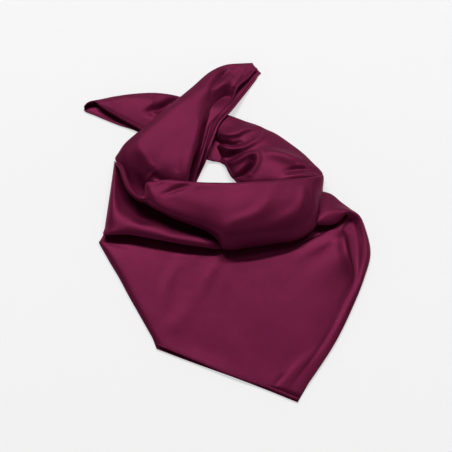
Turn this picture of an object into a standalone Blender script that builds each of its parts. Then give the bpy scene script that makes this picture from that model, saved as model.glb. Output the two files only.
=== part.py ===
"""Satin neck scarf, a square folded once on its diagonal and laid down as it is worn.

The folded edge is the neckline. It runs from one tail, round the neck opening and along the top of the
front drape to the other tail, and the point of the triangle lies towards -Y. The tails cross behind the
neck opening. Each stretch of cloth is a wall lofted through the sections of its table.

The tables are in millimetres. A point (x, y, z) is z above the surface that the scarf lies on, on the
sight line that meets that surface at x, y for someone who looks down at the scarf from EYE. So x and y
are the outline that the laid scarf shows, and a fold can be raised or lowered inside that outline.
"""

import math
from collections import namedtuple

import bmesh
import bpy
from mathutils import Vector

MM = 0.001
EYE = Vector((0.0, -587.0, 1017.0))
LAYOUT_CENTRE = Vector((-6.0, 10.5, 0.0))

WALL = 1.2
LAYER_GAP = 0.3
SEAM_SIDE = 0.4
FLOOR_LAYER = WALL / 2
SECOND_LAYER = FLOOR_LAYER + WALL + LAYER_GAP
SEAM_COLUMN = "back"
HEEL = 1.6

# Steps from each named column of a table to the next, and rows of faces from one section to the next.
DROP_STEPS = (2, 3, 3, 3, 3, 3)
GATHER_STEPS = (2, 3, 2, 3, 3)
BAND_STEPS = (2, 2, 2, 3, 3, 3, 2)
FOLD_STEPS = (2, 3, 3, 3, 2)
STRIP_STEPS = (1, 2, 2, 2, 2, 2, 2, 2, 2, 2)

BURGUNDY = (0.105, 0.010, 0.040, 1.0)
SATIN_ROUGHNESS = 0.36

Drop = namedtuple("Drop", "edge brow west middle east root back turn lip crest slope outer")
Band = namedtuple("Band", "turn depth neck upper middle roll lip tuck")
Fold = namedtuple("Fold", "back valley face crest lip tuck")
Strip = namedtuple("Strip", "under bed_in bed_out fold low mid high shoulder side hem")
Crease = namedtuple("Crease", "width height path")

# From the line hidden under the cowl to the hem, left side to right side.
DROP_ROWS = (
    Drop((-138, -13, 2.2), (-134, -13, 2.3), (-80, -14, 2.2), (-20, -16, 2.2), (50, -8, 2.2), (94, 4, 2.2),
         (100, 16, 2.2), (102, 21.5, 4.8), (99, 12, 7.4), (99, 14.5, 9.2), (101, 26, 8.6), (104, 46, 2.3)),
    Drop((-140, -17, 2.2), (-136, -17, 2.6), (-80, -24, 2.2), (-18, -28, 2.2), (52, -16, 2.2), (100, 0, 2.2),
         (111, 16, 2.2), (113, 21.5, 4.9), (111, 10.5, 7.5), (110, 12.6, 10), (111, 25, 10), (117, 41, 2.3)),
    Drop((-141, -20, 2.2), (-136, -21, 3.2), (-78, -34, 2.2), (-15, -38, 2.2), (56, -25, 2.2), (106, -2, 2.2),
         (121, 16.5, 2.2), (123, 22, 4.9), (122, 13.5, 7.7), (122, 16, 10.6), (122, 23, 10.4), (128, 31, 2.3)),
    Drop((-138, -25, 2.2), (-133, -25, 3.8), (-75, -43, 2.2), (-12, -48, 2.2), (60, -34, 2.2), (111, -6, 2.2),
         (132, 14, 2.2), (134.4, 19.5, 4.8), (134, 14, 7.7), (134, 16.8, 10.6), (134.4, 21, 10.2), (138, 23, 2.3)),
    Drop((-133, -34, 2.2), (-128, -34, 4.2), (-71, -53, 2.2), (-9, -58, 2.2), (64, -44, 2.2), (115, -12, 2.2),
         (137, 5, 2.3), (141, 9, 3.6), (143.4, 9.5, 7), (145, 12, 10), (147, 14, 8.6), (148.5, 14, 2.3)),
    Drop((-127, -45, 2.2), (-122, -45, 4.2), (-67, -64, 2.2), (-5, -70, 2.2), (67, -56, 2.2), (119, -21, 2.2),
         (133, -13, 2.2), (138, -9, 2.4), (143, -5, 6), (148, -2, 9.8), (151.5, -2, 7.5), (153.5, -3, 2.3)),
    Drop((-116, -64, 2.2), (-111, -64, 4.0), (-60, -82, 2.2), (0, -88, 2.2), (70, -74, 2.2), (123, -38, 2.2),
         (136, -35, 2.2), (141, -34, 2.3), (145.5, -34, 5.4), (150, -34, 9), (155, -34, 6.5), (158.5, -34, 2.3)),
    Drop((-104, -86, 2.2), (-99, -86, 3.6), (-52, -104, 2.2), (6, -112, 2.2), (70, -100, 2.2), (124, -65, 2.2),
         (135, -63, 2.2), (139, -62, 2.3), (143, -63, 4), (147, -64, 6), (151.5, -65, 4.8), (154.5, -65, 2.3)),
    Drop((-94, -104, 2.2), (-89, -104, 3.4), (-44, -124, 2.2), (10, -135, 2.2), (66, -129, 2.2), (117, -93, 2.2),
         (128, -91, 2.2), (133, -91, 2.3), (136.5, -92, 3), (139.5, -93, 3.6), (143, -94, 3.2), (145.5, -95, 2.3)),
    Drop((-83, -123, 2.2), (-78, -124, 3.2), (-36, -143, 2.2), (14, -160, 2.2), (60, -160, 2.2), (96, -140, 2.2),
         (104, -138, 2.2), (108, -138, 2.3), (111, -138.5, 2.4), (114, -139, 2.5), (117, -140, 2.4),
         (120, -141, 2.3)),
    Drop((-71, -144, 2.2), (-66, -146, 2.6), (-31, -161, 2.4), (10, -178, 2.4), (38, -189, 2.5), (52, -195, 2.5),
         (56, -196.5, 2.5), (59, -198, 2.5), (62, -199.2, 2.5), (65, -200.5, 2.5), (68, -201.7, 2.4),
         (71, -203, 2.3)),
)

# The neckline's band, from the left corner to the right one, from the neckline down to its tucked edge.
BAND_ROWS = (
    Band((1.4, 1.0), 4, (-122, 83, 12), (-122.8, 82.4, 11.7), (-123.6, 81.6, 10.9), (-124.2, 80.7, 9.8),
         (-124.6, 79.8, 8.6), (-123.8, 79.2, 7.6)),
    Band((2, 1), 5, (-114, 64, 16), (-114.8, 62.8, 15.5), (-115.5, 61.5, 14), (-116.2, 60.5, 12),
         (-116.8, 59.5, 10), (-116, 60, 8.9)),
    Band((1.5, 1.5), 6, (-105, 47, 20), (-105.5, 45.5, 19.5), (-106, 44, 18), (-106.3, 43, 15),
         (-106.5, 42, 11.5), (-105.5, 42.5, 9.8)),
    Band((0.5, 2), 7, (-95, 38, 22), (-94.5, 36.5, 21.5), (-94, 35, 20), (-93, 33.5, 17),
         (-92, 32, 12), (-91, 33, 10)),
    Band((-2, 0.5), 8, (-90, 50, 26), (-88, 44, 25), (-87, 38, 22), (-86, 32, 18),
         (-84.5, 27, 12.5), (-82, 28, 10)),
    Band((-0.5, 2), 9, (-85, 59, 30), (-83, 50, 30), (-80, 38, 26), (-77, 27, 20), (-75, 20, 13), (-72, 22, 10)),
    Band((0, 2.2), 10, (-65, 60, 34), (-63, 49, 33.5), (-60, 34, 28), (-57, 18, 20), (-55, 9, 12.5), (-53, 12, 9.8)),
    Band((0, 2.2), 10, (-45, 57, 35), (-43, 46, 34.5), (-40, 27, 28), (-37, 9, 20), (-34, 0, 12), (-32, 4, 9.5)),
    Band((0, 2.2), 10, (-20, 56, 36), (-19, 44, 35.5), (-18, 20, 28), (-17, -2, 19), (-15, -12, 12), (-14, -7, 9.4)),
    Band((0, 2.2), 10, (0, 56, 36), (0, 44, 35.5), (-1, 16, 28), (-2, -12, 19), (-4, -29, 10), (-4, -24, 7.6)),
    Band((0, 2.2), 10, (25, 57, 36), (25, 45, 35.5), (24, 16, 28), (22, -10, 19), (20, -27.5, 9), (20, -21, 5.6)),
    Band((0, 2.2), 10, (50, 58.5, 34.5), (51, 47, 34), (51, 20, 28), (51, -5, 19), (50, -22, 9), (50, -15, 5)),
    Band((0, 2.2), 9, (75, 60.5, 31), (76, 50, 31), (77, 27, 27), (78, 2, 19), (79, -17, 10), (76, -12, 6)),
    Band((0, 2.0), 7, (95, 62.5, 26), (96, 54, 26), (97, 36, 24), (98, 15, 18), (97, -3, 11.5), (92, 0, 8.8)),
    Band((0, 2.0), 5, (106, 64, 21), (106, 57, 20.5), (105, 44, 19), (104, 30, 16.5), (102.5, 16, 14.5), (98, 16, 12)),
    Band((0, 1.8), 4, (109.5, 64.5, 17), (109, 61, 16.8), (108, 57, 16), (107, 53, 15), (106, 49, 14), (103, 48, 12)),
)

# The bunched layers under the band: the first of its rows that they lie under, the front of their foot on
# the table at that row and each one after it, and how their edges show in the neck opening.
BUNCH_FIRST = 6
BUNCH_FEET = (28, 20, 15, 15, 15, 15, 17)
BUNCH_LAYERS = 5
BUNCH_PROUD = 1.6
BUNCH_CLEARANCE = 1.2

# The fold under the band at the left, from the left corner to where it dies out under the band.
FOLD_ROWS = (
    Fold((-124, 85, 5.2), (-124.8, 85, 5.4), (-125.6, 85, 5.4), (-126.6, 85, 4.8), (-127.5, 85, 3.4),
         (-126.4, 85, 1.4)),
    Fold((-115.5, 58.5, 6.2), (-117, 57.5, 6.6), (-121, 57, 9), (-125, 56, 9), (-129, 54, 4), (-125, 55, 1.2)),
    Fold((-106.5, 43, 6.8), (-108, 42, 7), (-116, 38, 12), (-125, 32, 12), (-132, 28, 4), (-127, 29, 1.2)),
    Fold((-94, 32.5, 6.8), (-97, 31, 7), (-110, 22, 14), (-122, 10, 14), (-136, 2, 4), (-130, 4, 1.2)),
    Fold((-79, 24, 6.6), (-84, 20, 7), (-98, 10, 14), (-112, 2, 15), (-140, -15, 5.4), (-131, -11, 4.4)),
    Fold((-64, 17, 6.5), (-70, 10, 7), (-82, 1, 12), (-92, -5, 13), (-115, -18, 6), (-110, -14, 4.2)),
    Fold((-46, 7, 6.5), (-50, 0, 7), (-58, -8, 10), (-66, -13, 12), (-80, -26, 6), (-77, -21, 3.9)),
    Fold((-27, -2, 6.4), (-30, -9, 7), (-36, -14, 10), (-42, -19, 11), (-48, -31, 6), (-46, -26, 3.9)),
    Fold((-14, -12, 5.8), (-16, -18, 6.4), (-19, -21, 8), (-22, -24, 9.2), (-24, -33, 6.2), (-23, -28, 3.8)),
    Fold((-9, -19, 5.4), (-9, -22, 5.8), (-9.2, -25, 6.4), (-9.4, -29, 6.8), (-9.6, -33.2, 5.4), (-9.6, -29.5, 3.7)),
)

# The strip from the left corner over the crossing to the tip of the right tail.
RIGHT_TAIL_ROWS = (
    Strip((-37, 53, 0.6), 0.6, 0.6, (-117, 72, 4), (-110, 55, 6), (-97, 36.5, 8), (-72, 54, 12),
          (-48, 52, 13), (-42, 52, 8), (-39, 52.5, 3.6)),
    Strip((-31, 68, 0.8), 0.8, 0.6, (-121.5, 85, 5.5), (-111, 66, 8), (-97, 50, 8.5), (-70, 62, 14),
          (-45, 66, 17), (-38, 67, 9), (-34, 67, 3.6)),
    Strip((-25.5, 84, 4), 3.4, 0.8, (-119, 94, 6.5), (-112, 84, 10), (-98, 72, 11), (-72, 82, 18),
          (-42, 82, 19), (-35, 83, 10), (-30, 83, 6)),
    Strip((-19, 102, 8), 8, 5.5, (-113, 110, 8), (-106, 103, 11), (-92, 96, 15), (-66, 100, 20),
          (-38, 101, 21), (-31, 102, 14), (-25, 102, 10.4)),
    Strip((-13, 120, 8.4), 8.4, 7.8, (-97, 127, 10.5), (-90, 122, 13.6), (-76, 116, 17), (-54, 118, 22),
          (-34, 120, 23), (-28, 120, 16), (-21, 121, 11)),
    Strip((-6, 139, 8.4), 8.4, 8.5, (-80, 147, 11), (-73, 142, 14), (-60, 136, 18), (-42, 136, 22),
          (-30, 137, 23), (-26, 138, 18), (-20, 140, 12)),
    Strip((6, 157, 7.3), 7.8, 8.4, (-60, 168, 11), (-53, 163, 14), (-42, 157, 17), (-32, 156, 19),
          (-25, 157, 19), (-18, 158, 14), (-6, 160, 11)),
    Strip((16, 173, 5), 5, 5, (-40, 191, 8.5), (-35, 187, 11), (-30, 182, 14), (-24, 180, 16),
          (-20, 180, 16), (-8, 175, 10), (6, 174, 9.5)),
    Strip((27, 190, 2.4), 2, 2, (-18, 213, 6), (-15, 208, 9), (-13, 203, 11), (-10, 200, 12),
          (-6, 198, 10), (3, 194, 9), (15, 190, 8)),
    Strip((35, 203, 0.8), 0.6, 0.6, (0, 223, 4), (3, 219, 6.5), (6, 216, 7), (10, 212, 6.5),
          (14, 209.5, 6), (18, 207, 6), (24, 203, 5.5)),
    Strip((39, 208, 0.6), 0.6, 0.6, (20, 225.5, 3), (21.5, 223.5, 4.8), (23, 221.5, 5.2), (25, 219, 5),
          (27, 216.5, 4.6), (29.5, 214, 4.2), (32, 211.5, 3.8)),
    Strip((42, 211, 0.6), 0.6, 0.6, (31.5, 226, 2), (32.2, 225, 3.3), (33.2, 223.7, 3.6), (34.4, 222.2, 3.6),
          (35.6, 220.6, 3.4), (36.8, 218.9, 3.2), (38, 217.2, 3)),
)

# The strip from the crossing, which it passes under, round to the right corner.
RIGHT_LOOP_ROWS = (
    Strip((-47, 98, 0.6), 0.6, 0.6, (-18, 158, 3), (-23, 152, 5.2), (-28, 141, 5.4), (-34, 128, 5.4),
          (-40, 115, 5), (-45, 103, 3), (-48, 97, 2.2)),
    Strip((-23, 89, 0.6), 0.6, 0.6, (0, 151, 4), (-3, 144, 6.2), (-7, 134, 6.6), (-11, 122, 6.5),
          (-15, 109, 5.8), (-20, 96, 3.2), (-24, 88, 2.2)),
    Strip((-7, 84, 0.6), 0.6, 0.6, (16, 144, 4.5), (13, 138, 8), (9, 127, 10), (4, 113, 10),
          (0, 101, 10), (-5, 90, 6), (-8, 83, 2.2)),
    Strip((2, 79, 0.6), 0.6, 0.6, (36, 133.5, 4.5), (33, 130, 8), (28, 121, 11), (21, 108, 12),
          (14, 96, 11), (6, 85, 6.5), (1, 78, 2.2)),
    Strip((7, 70, 0.6), 0.6, 0.6, (55, 125, 5), (51, 120, 10), (43, 110, 14), (33, 97, 15),
          (22, 85, 12), (11, 75, 7), (6, 69, 2.2)),
    Strip((13, 59, 0.6), 0.6, 0.6, (74, 111, 6), (69, 106, 12), (60, 96, 17), (47, 82, 18),
          (32, 70, 14), (18, 61, 8), (12, 58, 2.2)),
    Strip((24, 50, 0.6), 0.6, 0.6, (90, 96, 7), (85, 91, 14), (76, 81, 18), (62, 70, 18),
          (46, 60, 14), (30, 52, 8), (23, 49, 2.2)),
    Strip((43, 45, 0.6), 0.6, 0.6, (101, 82, 8), (97, 77, 15), (90, 69, 18), (78, 61, 17),
          (62, 54, 13), (48, 48, 7), (42, 44.5, 2.2)),
    Strip((65, 46, 0.6), 0.6, 0.6, (107, 73, 9), (104, 69, 14.5), (100, 64, 16), (91, 59, 15),
          (78, 53, 11), (69, 48, 6), (64, 45, 2.2)),
    Strip((90, 52, 0.6), 0.6, 0.6, (109.5, 67, 8), (108.5, 65.5, 11), (106, 63.5, 12), (102, 60.5, 11),
          (97, 57, 8.5), (92, 53, 5), (89, 50, 2.2)),
)

# The same strip beyond the crossing, to the open end of the left tail.
LEFT_TAIL_ROWS = (
    Strip((-47.3, 98.1, 0.6), 0.6, 0.6, (-18.3, 158.1, 3), (-23.3, 152.1, 5.2), (-28.3, 141.1, 5.4),
          (-34.3, 128.1, 5.4), (-40.3, 115.1, 5), (-45.3, 103.1, 3), (-48.3, 97.1, 2.2)),
    Strip((-78, 111, 0.6), 0.6, 0.6, (-52, 173, 4), (-56, 164, 5.8), (-60, 154, 6), (-66, 139, 6),
          (-71, 127, 5.2), (-75, 117, 3.4), (-77, 112, 2.4)),
    Strip((-106, 128, 0.6), 0.6, 0.6, (-82, 182, 4.5), (-85, 174, 8), (-88, 167, 9), (-92, 157, 8.5),
          (-96, 147, 7.5), (-100, 137, 6), (-103, 131, 4.5)),
    Strip((-124, 135, 0.6), 0.6, 0.6, (-108, 180.5, 4.5), (-109, 176, 8), (-111, 170, 9), (-113, 162, 8.8),
          (-116, 154, 8), (-118, 147, 7), (-120, 142, 5.5)),
    Strip((-141, 143, 0.6), 0.6, 0.6, (-131, 177, 4.5), (-131.5, 174, 7.6), (-132, 170, 8.8), (-133, 165, 8.8),
          (-134, 160, 8.4), (-135, 156, 7.6), (-136, 153, 6.4)),
    Strip((-155, 150, 0.6), 0.6, 0.6, (-149, 173, 4), (-149, 171.5, 6.8), (-149, 169.5, 7.8), (-149, 167.5, 8),
          (-148.5, 165.5, 8), (-148, 164, 7.6), (-148, 162.5, 7)),
    Strip((-163, 153.5, 0.6), 0.6, 0.6, (-159, 171, 3), (-158.8, 171, 3.8), (-158.4, 170.9, 4.6),
          (-158, 170.7, 5.2), (-157.5, 170.4, 5.8), (-157, 170, 6.2), (-156.4, 169.5, 6.5)),
    Strip((-167, 155, 0.6), 0.6, 0.6, (-166, 168.3, 2.8), (-166, 168.4, 3.5), (-165.9, 168.4, 4.2),
          (-165.8, 168.3, 4.8), (-165.6, 168.2, 5.3), (-165.4, 168, 5.7), (-165.2, 167.8, 6)),
    Strip((-169.8, 156.4, 0.6), 0.6, 0.6, (-170.6, 163.6, 2.6), (-170.6, 163.8, 3.2), (-170.5, 163.9, 3.8),
          (-170.4, 164, 4.3), (-170.3, 164, 4.8), (-170.2, 164, 5.2), (-170, 164, 5.5)),
)

# The first column of the loop's grid that lies on its upper layer.
LOOP_TOP_COLUMN = 11

# The largest folds of the loop where it comes out from under the crossing.
LOOP_CREASES = (
    Crease(6, 3.5, ((-6, 121), (2, 121), (12, 120), (26, 123), (42, 129))),
    Crease(5, -2.5, ((-8, 113), (0, 111), (14, 108), (26, 113), (38, 120))),
    Crease(5, 3.5, ((-6, 104), (0, 102), (10, 101), (20, 106), (34, 115))),
    Crease(6, -3.0, ((-5, 96), (4, 94), (16, 96), (27, 103))),
    Crease(5, 3.5, ((-4, 89), (6, 89), (18, 95), (30, 101), (36, 99), (35, 88))),
    Crease(4, -4.0, ((12, 68), (20, 74), (28, 82), (32, 91))),
)

UNDERLAY_OUTLINE = (
    (-137, -21), (-124, -45), (-101, -86), (-70, -147), (-27, -165), (12, -180), (58, -198), (71, -204),
    (117, -142), (142, -95), (151, -66), (155, -34), (150, -4), (145, 10), (135, 19), (125, 28),
    (114, 38), (103, 43), (96, 38), (93, 14), (40, 3), (-60, -4), (-134, -10),
)


def lifted(x, y, z):
    """The point z high on the sight line from the eye to x, y on the table."""
    return Vector((x, y, 0.0)).lerp(EYE, z / EYE.z)


def seen_at(point):
    """Where the sight line through a point meets the table, as x and y."""
    run = EYE.z / (EYE.z - point.z)
    return (EYE + (point - EYE) * run).xy


def smooth(points, steps):
    """A centripetal Catmull-Rom curve through the points, with a number of steps from each to the next."""
    knots = [0.0]
    for start, end in zip(points, points[1:]):
        knots.append(knots[-1] + math.sqrt((end - start).length))
    last = len(points) - 1
    chords = [(points[i + 1] - points[i]) / (knots[i + 1] - knots[i]) for i in range(last)]
    slopes = [chords[0]]
    for i in range(1, last):
        before, after = knots[i] - knots[i - 1], knots[i + 1] - knots[i]
        slopes.append((chords[i - 1] * after + chords[i] * before) / (before + after))
    slopes.append(chords[-1])
    curve = []
    for i in range(last):
        span = knots[i + 1] - knots[i]
        for step in range(steps[i]):
            t = step / steps[i]
            curve.append(
                points[i] * (2 * t**3 - 3 * t**2 + 1)
                + slopes[i] * span * (t**3 - 2 * t**2 + t)
                + points[i + 1] * (3 * t**2 - 2 * t**3)
                + slopes[i + 1] * span * (t**3 - t**2)
            )
    curve.append(points[last])
    return curve


def net(rows, across, along):
    """A smooth grid through rows of control points: steps for each column, and one number for the rows."""
    wide = [smooth(row, across) for row in rows]
    between = [along] * (len(rows) - 1)
    columns = [smooth([row[i] for row in wide], between) for i in range(len(wide[0]))]
    return [list(row) for row in zip(*columns)]


def raised(grid, lowest):
    """The grid with no point lower than the layer that it lies on."""
    for row in grid:
        for point in row:
            point.z = max(point.z, lowest)
    return grid


def drop_grid(first, last, across, along):
    """The stretch of the drop between two of its named columns, clear of the stretch beside it."""
    names = Drop._fields[Drop._fields.index(first):Drop._fields.index(last) + 1]
    rows = []
    for row in DROP_ROWS:
        points = [lifted(*getattr(row, name)) for name in names]
        seam, inner = (points[-1], points[-2]) if last == SEAM_COLUMN else (points[0], points[1])
        seam += (inner - seam).normalized() * SEAM_SIDE
        rows.append(points)
    return raised(net(rows, across, along), SECOND_LAYER)


def band_grid(along):
    """The cowl's band: down inside the neckline, over its rounded edge and down to the tucked lip."""
    rows = []
    for row in BAND_ROWS:
        neck = lifted(*row.neck)
        aside = Vector((row.turn[0], row.turn[1], 0.0))
        inside = neck + aside * 0.9 - Vector((0, 0, row.depth))
        shoulder = neck + aside - Vector((0, 0, row.depth * 0.35))
        outside = [lifted(*point) for point in row[2:]]
        rows.append([inside, shoulder] + outside)
    return net(rows, BAND_STEPS, along)


def fold_grid(along):
    """The middle fold, from under the band over its crest to its tucked lip."""
    return net([[lifted(*point) for point in row] for row in FOLD_ROWS], FOLD_STEPS, along)


def strip_grid(rows, along):
    """A doubled strip: its lower layer, its outer folded edge and its upper layer to the hem."""
    sections = []
    for row in rows:
        under, fold = lifted(*row.under), lifted(*row.fold)
        inner = under.lerp(fold, 0.3)
        inner.z = row.bed_in
        outer = under.lerp(fold, 0.65)
        outer.z = row.bed_out
        heel = fold.lerp(under, min(0.16, HEEL / (under - fold).length))
        heel.z = row.bed_out
        upper = [lifted(*point) for point in row[3:]]
        sections.append([under, inner, outer, heel] + upper)
    return raised(net(sections, STRIP_STEPS, along), FLOOR_LAYER)


def nearest_on(path, spot):
    """Distance from a spot to a path, and how far along the path its nearest point is, from 0 to 1."""
    lengths = [(end - start).length for start, end in zip(path, path[1:])]
    total = sum(lengths)
    best, share, passed = None, 0.0, 0.0
    for start, end, length in zip(path, path[1:], lengths):
        along = max(0.0, min(1.0, (spot - start).dot(end - start) / length**2))
        distance = (start.lerp(end, along) - spot).length
        if best is None or distance < best:
            best, share = distance, (passed + along * length) / total
        passed += length
    return best, share


def creased(grid, creases, first_column):
    """The grid's upper layer raised along each crease's path, or sunk where its height is negative."""
    paths = [[Vector(point) for point in crease.path] for crease in creases]
    for row in grid:
        for point in row[first_column:]:
            spot = seen_at(point)
            rise = 0.0
            for crease, path in zip(creases, paths):
                distance, share = nearest_on(path, spot)
                ends = math.sin(math.pi * min(max(share, 0.04), 0.96))
                rise += crease.height * math.exp(-(distance / crease.width) ** 2) * math.sqrt(ends)
            point.z += rise
    return grid


def satin(name):
    """The finish of one stretch."""
    material = bpy.data.materials.new(name + " satin")
    material.use_nodes = True
    shader = material.node_tree.nodes["Principled BSDF"]
    shader.inputs["Base Color"].default_value = BURGUNDY
    shader.inputs["Roughness"].default_value = SATIN_ROUGHNESS
    shader.inputs["Metallic"].default_value = 0.0
    return material


def placed(points):
    """Points in metres, measured from the middle of the laid scarf's box."""
    return [(point - LAYOUT_CENTRE) * MM for point in points]


def add_object(name, mesh_or_curve, collection):
    """One sub-part with its own material."""
    obj = bpy.data.objects.new(name, mesh_or_curve)
    obj.data.materials.append(satin(name))
    collection.objects.link(obj)
    return obj


def grid_mesh(name, grid, closed=False):
    """A mesh of quads over a grid. A closed grid is a row of rings with an end cap on each."""
    shape = bmesh.new()
    rows = [[shape.verts.new(point) for point in placed(row)] for row in grid]
    width = len(grid[0])
    for lower, upper in zip(rows, rows[1:]):
        for i in range(width if closed else width - 1):
            j = (i + 1) % width
            shape.faces.new((lower[i], lower[j], upper[j], upper[i]))
    if closed:
        shape.faces.new(rows[0])
        shape.faces.new(rows[-1])
        bmesh.ops.recalc_face_normals(shape, faces=shape.faces)
    mesh = bpy.data.meshes.new(name)
    shape.to_mesh(mesh)
    shape.free()
    mesh.shade_smooth()
    return mesh


def wall(name, grid, collection):
    """A stretch of cloth: an open surface given the wall's thickness about its middle."""
    obj = add_object(name, grid_mesh(name, grid), collection)
    thick = obj.modifiers.new("wall", "SOLIDIFY")
    thick.thickness = WALL * MM
    thick.offset = 0.0
    return obj


def bunched_layers(collection):
    """The cloth bunched under the band, which holds it up: one rounded solid, layered at the neck opening."""
    rings = []
    for row, foot in zip(BAND_ROWS[BUNCH_FIRST:], BUNCH_FEET):
        neck, upper, middle, roll, lip, tuck = (lifted(*point) for point in row[2:])
        ring = [Vector((neck.x, foot, 0.0))]
        top = neck.z - row.depth - BUNCH_CLEARANCE
        for layer in range(BUNCH_LAYERS):
            low, high = top * layer / BUNCH_LAYERS, top * (layer + 1) / BUNCH_LAYERS
            ring.append(Vector((neck.x, neck.y + BUNCH_PROUD * 0.2, low)))
            ring.append(Vector((neck.x, neck.y + BUNCH_PROUD, (low + high) / 2)))
        ring.append(Vector((neck.x, neck.y - BUNCH_CLEARANCE * 0.5, top)))
        ring.append(neck - Vector((0, BUNCH_CLEARANCE, 3 * BUNCH_CLEARANCE)))
        ring.append(upper - Vector((0, 0, 1.4 * BUNCH_CLEARANCE)))
        ring.append(middle - Vector((0, 0, 1.5 * BUNCH_CLEARANCE)))
        ring.append(roll + Vector((0, 1.5, -1.5)) * BUNCH_CLEARANCE)
        ring.append(lip + Vector((0, 4.0, 1.5)) * BUNCH_CLEARANCE)
        ring.append(Vector((tuck.x, tuck.y + 3 * BUNCH_CLEARANCE, tuck.z + 1.5 * BUNCH_CLEARANCE)))
        ring.append(Vector((neck.x, foot - 2 * BUNCH_CLEARANCE, tuck.z + 1.5 * BUNCH_CLEARANCE)))
        rings.append(ring)
    between = [3] * (len(rings) - 1)
    columns = [smooth([ring[i] for ring in rings], between) for i in range(len(rings[0]))]
    mesh = grid_mesh("under_layers", [list(ring) for ring in zip(*columns)], closed=True)
    add_object("under_layers", mesh, collection)


def underlay(collection):
    """The flat layers under the drop, which rest on the table and peek out along the hem."""
    curve = bpy.data.curves.new("drop_back", "CURVE")
    curve.dimensions = "2D"
    curve.fill_mode = "BOTH"
    curve.extrude = WALL * MM / 2
    outline = curve.splines.new("POLY")
    outline.points.add(len(UNDERLAY_OUTLINE) - 1)
    for point, (x, y) in zip(outline.points, UNDERLAY_OUTLINE):
        spot = placed([Vector((x, y, 0.0))])[0]
        point.co = (spot.x, spot.y, 0.0, 1.0)
    outline.use_cyclic_u = True
    obj = add_object("drop_back", curve, collection)
    obj.location.z = FLOOR_LAYER * MM
    return obj


def main():
    for obj in list(bpy.data.objects):
        bpy.data.objects.remove(obj, do_unlink=True)
    scarf = bpy.data.collections.new("neck scarf")
    bpy.context.scene.collection.children.link(scarf)
    underlay(scarf)
    wall("drop_front", drop_grid("edge", SEAM_COLUMN, DROP_STEPS, 2), scarf)
    wall("right_gather", drop_grid(SEAM_COLUMN, "outer", GATHER_STEPS, 2), scarf)
    wall("cowl", band_grid(2), scarf)
    wall("middle_fold", fold_grid(2), scarf)
    bunched_layers(scarf)
    wall("right_tail", strip_grid(RIGHT_TAIL_ROWS, 2), scarf)
    wall("right_loop", creased(strip_grid(RIGHT_LOOP_ROWS, 3), LOOP_CREASES, LOOP_TOP_COLUMN), scarf)
    wall("left_tail", strip_grid(LEFT_TAIL_ROWS, 2), scarf)


main()
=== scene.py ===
"""Looks of the laid neck scarf: thin satin shells in place of the frame's solids, with creases and hems.

The tables are in millimetres and work as in the part's source. A point (x, y, z) is z above the surface
that the scarf lies on, on the sight line that meets that surface at x, y for someone at EYE.
"""

import math
from collections import namedtuple

import bpy
import numpy as np
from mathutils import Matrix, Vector


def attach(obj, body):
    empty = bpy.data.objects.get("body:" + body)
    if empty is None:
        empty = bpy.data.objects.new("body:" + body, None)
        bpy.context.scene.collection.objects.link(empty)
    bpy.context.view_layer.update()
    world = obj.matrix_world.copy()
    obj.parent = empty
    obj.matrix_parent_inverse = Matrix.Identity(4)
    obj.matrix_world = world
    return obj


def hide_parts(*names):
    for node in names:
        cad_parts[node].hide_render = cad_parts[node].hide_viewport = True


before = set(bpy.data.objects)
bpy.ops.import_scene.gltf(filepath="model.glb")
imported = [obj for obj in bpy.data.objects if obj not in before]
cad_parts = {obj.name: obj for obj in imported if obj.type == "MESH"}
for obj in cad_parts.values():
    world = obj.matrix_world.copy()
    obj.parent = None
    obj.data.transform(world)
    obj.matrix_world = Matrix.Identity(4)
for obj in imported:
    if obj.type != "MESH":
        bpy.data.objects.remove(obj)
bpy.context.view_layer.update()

MM = 0.001
EYE = np.array((0.0, -587.0, 1017.0))
LAYOUT_CENTRE = np.array((-6.0, 10.5, 0.0))

# The cloth's thickness, and the lowest heights of its first and second layer.
CLOTH = 0.5
FLOOR_LAYER = 0.6
SECOND_LAYER = 1.4

# A doubled strip's lower layer: two points, as shares of the way to its folded edge, and the heel there.
BED_IN_SHARE = 0.3
BED_OUT_SHARE = 0.65
HEEL = 1.6
HEEL_SHARE = 0.16

# The band's wall inside the neckline with its foot and shoulder, and the cloth behind its tucked edge.
BAND_FOOT = 4.2
WALL_DEPTHS = 3
WALL_BACK = 5
FOOT_BACK = 3
INSIDE_TURN = 0.9
SHOULDER_DEPTH = 0.35
TUCK_BACK = 7
TUCK_HEIGHT = 0.6
TUCK_END = 9

# The hem's profile as distances in from the edge, each with its rise, and the stitches along it.
HEM = ((0.0, 0.3), (0.5, 0.55), (1.5, 0.65), (2.5, 0.55), (3.0, 0.2))
STITCHED_COLUMN = 3
STITCH_START = 1.0
STITCH_IN = 2.3
STITCH_UP = 0.85
STITCH_STEP = 2.6
STITCH_LONG = 1.7
STITCH_TAPER = 0.25
STITCH_RADIUS = 0.16

# Steps across from each column of points to the next. The first columns are hidden and get no creases.
STRIP_STEPS = (2, 2, 3, 4, 6, 12, 16, 16, 12, 10)
BAND_STEPS = (3, 3, 4, 3, 6, 8, 8, 8, 6, 5, 4, 4)
HIDDEN_SPANS = 4

# A crease's path is smoothed in steps, and its fade towards both ends stops at a share of its length.
CREASE_STEPS = 6
CREASE_END = 0.04

# Both keep a division from zero.
SHORTEST_SPAN = 1e-6
SHORTEST_NORMAL = 1e-9

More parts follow.
